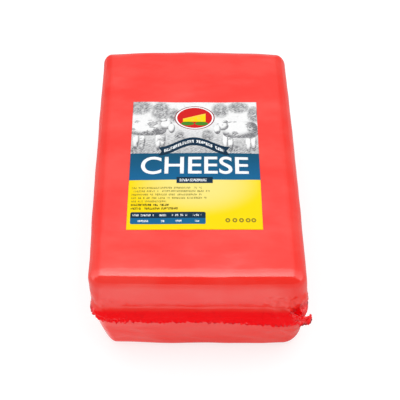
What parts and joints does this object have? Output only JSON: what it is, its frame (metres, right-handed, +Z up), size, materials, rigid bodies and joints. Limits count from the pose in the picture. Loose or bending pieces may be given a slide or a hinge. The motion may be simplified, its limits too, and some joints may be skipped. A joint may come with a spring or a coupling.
{
  "type": "shrink-wrapped cheese block",
  "caption": "Rectangular block of semi-hard cheese in tight glossy red shrink film, with a welded seam across one end, gathered film ears and a printed paper label on top.",
  "frame": {"origin": "on the surface that the block rests on, under the middle of the pack's bounding box", "axes": "+Z up, +Y along the block's length from the welded front end to the plain back end, +X to the right of someone who faces the welded end"},
  "size_m": [0.1614, 0.2368, 0.0952],
  "materials": {
    "cheese": "pale yellow, matt, slightly moist",
    "red_film": "glossy red shrink film",
    "label_paper": "satin coated paper, printed"
  },
  "bodies": {
    "root": {"cheese_block": "cheese", "shrink_bag": "red_film", "label": "label_paper"}
  },
  "joints": []
}
